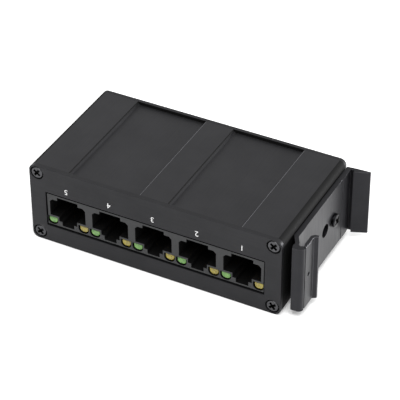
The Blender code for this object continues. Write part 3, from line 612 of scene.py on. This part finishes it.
def make_numbers():
    """Port numbers printed on the front plate, read with the case the other way up."""
    low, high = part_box("front_plate")
    for number, x in enumerate(port_places(), 1):
        text = bpy.data.curves.new(f"number_{number}", "FONT")
        text.body = str(number)
        text.align_x = "CENTER"
        text.align_y = "CENTER"
        text.size = NUMBER_SIZE
        text.offset = NUMBER_BOLD
        text.extrude = INK_T
        text.resolution_u = 6
        holder = bpy.data.objects.new("number_text", text)
        bpy.context.scene.collection.objects.link(holder)
        bpy.context.view_layer.update()
        mesh = bpy.data.meshes.new_from_object(
            holder.evaluated_get(bpy.context.evaluated_depsgraph_get()))
        bpy.data.objects.remove(holder, do_unlink=True)
        bm = bmesh.new()
        bm.from_mesh(mesh)
        bmesh.ops.remove_doubles(bm, verts=bm.verts[:], dist=WELD)
        xs = [vert.co.x for vert in bm.verts]
        ys = [vert.co.y for vert in bm.verts]
        centre = Vector(((min(xs) + max(xs)) / 2, (min(ys) + max(ys)) / 2, 0.0))
        place = (
            Matrix.Translation((x, low[1] - INK_T, NUMBER_Z))
            @ Matrix.Rotation(math.radians(90), 4, "X") @ Matrix.Rotation(math.radians(180), 4, "Z")
            @ Matrix.Translation(-centre))
        bmesh.ops.transform(bm, matrix=place, verts=bm.verts[:])
        finished(f"port_number_{number}", bm, "ink", CASE)


# ---------------------------------------------------------------- jacks

SOCKET_W = 11.7 * MM
SOCKET_LOW = 3.4 * MM
SOCKET_HIGH = 9.0 * MM
CROWN_W = 6.8 * MM
CROWN_HIGH = 10.1 * MM
CORNER_CUT = 0.8 * MM
LATCH_W = 6.0 * MM
LATCH_LOW = 1.9 * MM
LATCH_SLOT_W = 3.9 * MM
LATCH_SLOT_LOW = 0.5 * MM
SOCKET_D = 13.0 * MM
POCKET_D = 3.2 * MM
LENS_EDGE = 0.22 * MM

# Spring contacts
CONTACTS = 8
CONTACT_PITCH = 1.02 * MM
CONTACT_W = 0.45 * MM
CONTACT_T = 0.25 * MM
CONTACT_REACH = 10.5 * MM
CONTACT_DROP = 1.3 * MM
CONTACT_ROOM = 0.45 * MM        # left between the contacts and the socket's crown
BAR_HALF_W = 4.0 * MM
BAR_PROUD = 0.4 * MM            # how far the bar comes into the socket
BAR_BEHIND = 0.1 * MM           # left behind the bar
BAR_ABOVE = 0.3 * MM            # and above it


def socket_outline(x, floor):
    """A socket as seen from the front, latch slot down."""
    half = SOCKET_W / 2
    right = [
        (LATCH_SLOT_W / 2, LATCH_SLOT_LOW), (LATCH_SLOT_W / 2, LATCH_LOW), (LATCH_W / 2, LATCH_LOW),
        (LATCH_W / 2, SOCKET_LOW), (half, SOCKET_LOW), (half, SOCKET_HIGH - CORNER_CUT),
        (half - CORNER_CUT, SOCKET_HIGH), (CROWN_W / 2, SOCKET_HIGH), (CROWN_W / 2, CROWN_HIGH),
    ]
    return [(x + a, floor + b) for a, b in mirrored(right)]


def lens_outline(node, grow):
    """A port light's face: flat top and round lower corners; grow widens it all round."""
    low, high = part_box(node)
    half = (high[0] - low[0]) / 2 + grow
    middle = (high[0] + low[0]) / 2
    radius = 0.85 * half
    right = arc(half - radius, low[2] - grow + radius, radius, -90, 0, 8)
    right += [(half, high[2] + grow)]
    return [(middle + a, b) for a, b in mirrored(right)]


def light_nodes():
    """The port lights' nodes with their finishes."""
    pairs = []
    for port in range(1, PORTS + 1):
        pairs.append((f"green_light_{port}", "green"))
        pairs.append((f"yellow_light_{port}", "yellow"))
    return pairs


def sink_loop(bm, edges, depth):
    """Carry a loop of edges backwards by a depth and close its end."""
    verts, rim = split_geom(bmesh.ops.extrude_edge_only(bm, edges=edges)["geom"])
    bmesh.ops.translate(bm, vec=Vector((0.0, depth, 0.0)), verts=verts)
    bmesh.ops.edgeloop_fill(bm, edges=rim)


def make_jack_housing():
    """Row of sockets with a pocket for each light, moulded as one piece."""
    low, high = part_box("jack_housing")
    face = low[1]
    bm = bmesh.new()
    place = lambda x, z: (x, face, z)
    outer = outline_face(
        bm, [(low[0], low[2]), (high[0], low[2]), (high[0], high[2]), (low[0], high[2])], place)
    outer_edges = list(outer.edges)
    sockets = []
    for x in port_places():
        sockets.append(list(outline_face(bm, socket_outline(x, low[2]), place).edges))
    pockets = []
    for node, _ in light_nodes():
        pockets.append(list(outline_face(bm, lens_outline(node, GAP), place).edges))
    pierced(bm)
    sink_loop(bm, outer_edges, high[1] - low[1])
    for edges in sockets:
        sink_loop(bm, edges, SOCKET_D)
    for edges in pockets:
        sink_loop(bm, edges, POCKET_D)
    front = lambda edge: all(abs(vert.co.y - face) < TOUCH for vert in edge.verts)
    # Every face behind the jack's front face is painted in shade
    for flat in bm.faces:
        flat.material_index = 1 if flat.calc_center_median().y > face + TOUCH else 0
    break_edges(bm, MOULD_EDGE, 2, front)
    finished("jack_moulding", bm, "jack", CASE, ["jack_housing"], ["socket"])


def make_port_lights():
    """Half-round lenses with soft rims."""
    for node, finish in light_nodes():
        low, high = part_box(node)
        bm = bmesh.new()
        sheet = outline_face(bm, lens_outline(node, 0.0), lambda x, z: (x, low[1], z))
        thicken(bm, [sheet], (0.0, high[1] - low[1], 0.0))
        break_edges(bm, LENS_EDGE, 3)
        finished(f"{node}_lens", bm, finish, CASE, [node])


def make_contacts():
    """Gold-plated spring contacts, and the moulded bar that carries each set."""
    jack_low, jack_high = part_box("jack_housing")
    floor, back = jack_low[2], jack_high[1]
    roof = floor + CROWN_HIGH - CONTACT_ROOM
    thick = CONTACT_T
    for port, x in enumerate(port_places(), 1):
        node = f"contact_insert_{port}"
        low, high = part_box(node)
        leg = high[1]
        nose = low[1]
        tip_y = nose + CONTACT_REACH
        tip_z = roof - CONTACT_DROP - thick
        points = [(leg, low[2]), (leg, roof)]
        points += arc(nose + 2 * thick, roof - 2 * thick, 2 * thick, 90, 250, 10)
        points += [(tip_y, tip_z - thick), (tip_y, tip_z)]
        points += arc(nose + 2 * thick, roof - 2 * thick, thick, 250, 90, 8)
        points += [(leg - thick, roof - thick), (leg - thick, low[2])]
        bm = bmesh.new()
        for i in range(CONTACTS):
            start = x + (i - (CONTACTS - 1) / 2) * CONTACT_PITCH - CONTACT_W / 2
            sheet = outline_face(bm, points, lambda y, z: (start, y, z))
            thicken(bm, [sheet], (CONTACT_W, 0.0, 0.0))
        finished(f"spring_contacts_{port}", bm, "gold", CASE, [node])
        bm = bmesh.new()
        add_block(
            bm,
            (x - BAR_HALF_W, jack_low[1] + SOCKET_D - BAR_PROUD,
             floor + SOCKET_HIGH - CORNER_CUT),
            (x + BAR_HALF_W, back - BAR_BEHIND, floor + CROWN_HIGH - BAR_ABOVE))
        break_edges(bm, MOULD_EDGE)
        finished(f"contact_bar_{port}", bm, "black", CASE)


# ---------------------------------------------------------------- rail clip and rear side

def make_rail_clip():
    """Extruded clip and its sprung arm, their broken edges lighter as painted highlight."""
    softened("clip_extrusion", "rail_clip", "clip", CASE, 0.08 * MM, ["edge"])
    softened("clip_spring_arm", "rail_clip_arm", "clip", ARM, 0.07 * MM, ["edge"])
    make_clip_screws()


def make_power_socket():
    """Barrel socket with a raised rim and a spring leaf, and its turned pin."""
    softened("power_socket_moulding", "power_socket", "black", CASE, 0.15 * MM)
    low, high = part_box("power_socket_pin")
    middle = (Vector(low) + Vector(high)) / 2
    radius = (high[0] - low[0]) / 2
    length = high[1] - low[1]
    tip = [
        (length - radius * (1 - math.sin(math.radians(angle))),
         radius * (0.35 + 0.65 * math.cos(math.radians(angle)))) for angle in range(0, 91, 15)]
    bm = bmesh.new()
    matrix = Matrix.Translation((middle.x, low[1], middle.z)) @ along((0, 1, 0))
    turned(bm, [(0.0, radius)] + tip, matrix)
    finished("power_pin_turned", bm, "tin", CASE, ["power_socket_pin"])
    bore = 3.1 * MM
    thin = 0.15 * MM
    leaf_back = 5.5 * MM
    leaf_length = 5.0 * MM
    points = arc(0.0, 0.0, bore, 245, 295, 8) + arc(0.0, 0.0, bore - thin, 295, 245, 8)
    bm = bmesh.new()
    sheet = outline_face(
        bm, points, lambda x, z: (middle.x + x, high[1] - leaf_back, middle.z + z))
    thicken(bm, [sheet], (0.0, leaf_length, 0.0))
    finished("power_spring_leaf", bm, "tin", CASE)


def make_terminal():
    """Header, plug, cages, clamp screws and pins of the screw terminal."""
    softened("terminal_shroud", "terminal_header", "terminal", CASE, 0.15 * MM)
    softened("terminal_plug_moulding", "terminal_plug", "terminal", PLUG, 0.15 * MM)
    for i in (1, 2):
        softened(f"terminal_tray_{i}", f"terminal_cage_{i}", "brass", PLUG, 0.05 * MM)
        softened(f"terminal_prong_{i}", f"terminal_pin_{i}", "tin", CASE, 0.12 * MM)
        body = f"clamp_screw_{i}"
        softened(f"terminal_clamp_{i}", f"terminal_screw_{i}", "screw", body, 0.1 * MM)


def make_power_light():
    """Round light with a domed end."""
    low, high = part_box("power_light")
    middle = (Vector(low) + Vector(high)) / 2
    radius = (high[0] - low[0]) / 2
    length = high[1] - low[1]
    dome = 0.9 * MM
    steps = [
        (length - dome * (1 - math.sin(math.radians(angle))),
         radius * max(0.04, math.cos(math.radians(angle)))) for angle in range(0, 91, 10)]
    bm = bmesh.new()
    matrix = Matrix.Translation((middle.x, low[1], middle.z)) @ along((0, 1, 0))
    turned(bm, [(0.0, radius)] + steps, matrix)
    finished("power_light_dome", bm, "green", CASE, ["power_light"])


# ---------------------------------------------------------------- stage

def make_stage():
    """Pale floor, a white sky and soft lights."""
    bm = bmesh.new()
    bmesh.ops.create_grid(bm, x_segments=1, y_segments=1, size=FLOOR_HALF)
    mesh = bpy.data.meshes.new("floor")
    bm.to_mesh(mesh)
    bm.free()
    paint, _, _ = new_material("pale_floor", Base_Color=linear("f4f4f4"), Roughness=0.9)
    mesh.materials.append(paint)
    floor = bpy.data.objects.new("floor", mesh)
    bpy.context.scene.collection.objects.link(floor)
    world = bpy.data.worlds.new("studio")
    world.use_nodes = True
    back = world.node_tree.nodes["Background"]
    back.inputs["Color"].default_value = (1.0, 1.0, 1.0, 1.0)
    back.inputs["Strength"].default_value = SKY
    bpy.context.scene.world = world
    for name, (at, size, power) in LAMPS.items():
        lamp = bpy.data.lights.new(name, "AREA")
        lamp.shape = "DISK"
        lamp.size = size
        lamp.energy = power
        obj = bpy.data.objects.new(name, lamp)
        toward = Vector((0.0, 0.0, MIDDLE_Z)) - Vector(at)
        aim = toward.to_track_quat("-Z", "Y").to_matrix().to_4x4()
        obj.matrix_world = Matrix.Translation(at) @ aim
        bpy.context.scene.collection.objects.link(obj)


def make_camera():
    """Camera on its direction and distance from the point it looks at."""
    azimuth = math.radians(CAMERA_AZIMUTH)
    elevation = math.radians(CAMERA_ELEVATION)
    roll = Matrix.Rotation(math.radians(CAMERA_ROLL), 4, "Z")
    turn = (
        Matrix.Rotation(azimuth, 4, "Z") @ Matrix.Rotation(math.radians(90) - elevation, 4, "X"))
    lens = bpy.data.cameras.new("camera")
    lens.lens = CAMERA_LENS
    lens.sensor_width = 36.0
    lens.clip_start = 0.01
    camera = bpy.data.objects.new("camera", lens)
    camera.matrix_world = (
        Matrix.Translation(CAMERA_AIM) @ turn @ Matrix.Translation((0.0, 0.0, CAMERA_DISTANCE))
        @ roll)
    bpy.context.scene.collection.objects.link(camera)
    bpy.context.scene.camera = camera


NODE_FINISH = {
    "circuit_board": "mask", "capacitor": "can", "crystal": "can", "power_light": "green",
    "power_socket_pin": "tin", "terminal_pin": "tin", "terminal_cage": "brass",
    "terminal_screw": "screw", "terminal": "terminal", "rail_clip_screw": "clip_screw",
    "rail_clip": "clip", "power_light_holder": "black",
}


def dress_nodes():
    """Finishes for the CAD nodes that stay in view; the longest matching name wins."""
    for node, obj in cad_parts.items():
        keys = [key for key in NODE_FINISH if node.startswith(key)]
        finish = NODE_FINISH[max(keys, key=len)] if keys else "black"
        for slot in obj.material_slots:
            slot.material = FINISH[finish]


bpy.context.scene.view_settings.view_transform = "Standard"
make_camera()
make_stage()
dress_nodes()
make_tube()
make_plates()
make_corner_screws()
make_numbers()
make_jack_housing()
make_port_lights()
make_contacts()
make_rail_clip()
make_power_socket()
make_terminal()
make_power_light()
